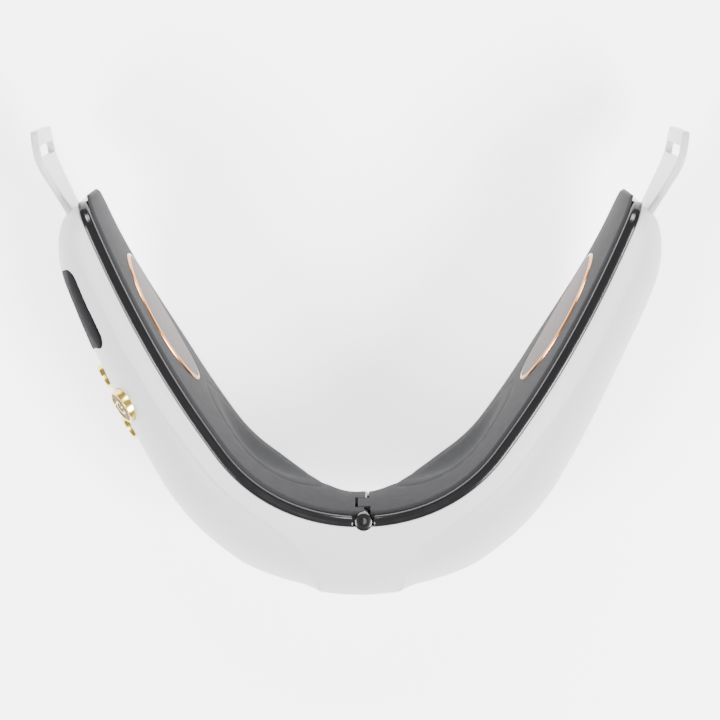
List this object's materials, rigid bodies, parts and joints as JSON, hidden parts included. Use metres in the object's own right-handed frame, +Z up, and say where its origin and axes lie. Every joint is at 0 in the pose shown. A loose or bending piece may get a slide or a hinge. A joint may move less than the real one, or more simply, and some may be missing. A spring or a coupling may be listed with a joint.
{
  "type": "eye massager mask",
  "caption": "V-shaped eye massager mask: white eye covers joined at a nose hinge, soft face pads with temple electrodes, push buttons, display window and strap lugs.",
  "frame": {"origin": "centre of the bounding box, at the lower edge that the mask stands on", "axes": "+X to the wearer's left (temple to temple), +Y from the nose towards the ears, +Z up as worn"},
  "size_m": [0.1658, 0.1193, 0.06],
  "materials": {
    "soft_skin": "satin",
    "hard_cover": "satin",
    "black_frame": "gloss",
    "grey_pad": "matte",
    "copper": "polished",
    "clear_white": "translucent",
    "window_black": "gloss",
    "gold": "polished",
    "brown_face": "gloss",
    "board": "matte",
    "steel": "brushed",
    "dark_part": "matte",
    "film": "satin",
    "battery_foil": "satin"
  },
  "bodies": {
    "right_half": {"right_skin": "soft_skin", "bridge_skin": "soft_skin", "right_cover": "hard_cover", "right_inner_frame": "black_frame", "right_face_pad": "grey_pad", "right_electrode": "copper", "right_heating_film": "film", "right_strap_lug": "clear_white", "right_frame_screws": "steel", "right_vibration_motor": "steel", "display_window": "window_black", "display_board": "board", "main_board": "board", "button_board": "board", "tact_switches": "dark_part", "charging_socket": "steel", "hinge_pin": "steel", "ribbon_cable": "film"},
    "left_half": {"left_skin": "soft_skin", "left_cover": "hard_cover", "left_inner_frame": "black_frame", "left_face_pad": "grey_pad", "left_electrode": "copper", "left_heating_film": "film", "left_strap_lug": "clear_white", "left_frame_screws": "steel", "left_vibration_motor": "steel", "battery": "battery_foil", "battery_tray": "dark_part", "battery_foam": "dark_part"},
    "power_button": {"power_button": "gold", "power_button_face": "brown_face", "power_icon": "gold"},
    "plus_button": {"plus_button": "gold"},
    "minus_button": {"minus_button": "gold"}
  },
  "joints": [
    {"name": "bridge_hinge", "type": "hinge", "parent": "right_half", "child": "left_half", "pos_m": [0.0009, -0.0371, 0.04], "axis": [0, 0, 1], "range_deg": [-15, 10], "stiffness_Nm_per_rad": 0.3, "deforming": ["bridge_skin", "ribbon_cable"]},
    {"name": "power_button_press", "type": "slide", "parent": "right_half", "child": "power_button", "axis": [0.7801, 0.4806, -0.4006], "range_m": [0, 0.0006], "stiffness_N_per_m": 400},
    {"name": "plus_button_press", "type": "slide", "parent": "right_half", "child": "plus_button", "axis": [0.8624, 0.501, -0.0721], "range_m": [0, 0.0006], "stiffness_N_per_m": 400},
    {"name": "minus_button_press", "type": "slide", "parent": "right_half", "child": "minus_button", "axis": [0.8374, 0.5421, -0.07], "range_m": [0, 0.0006], "stiffness_N_per_m": 400}
  ]
}
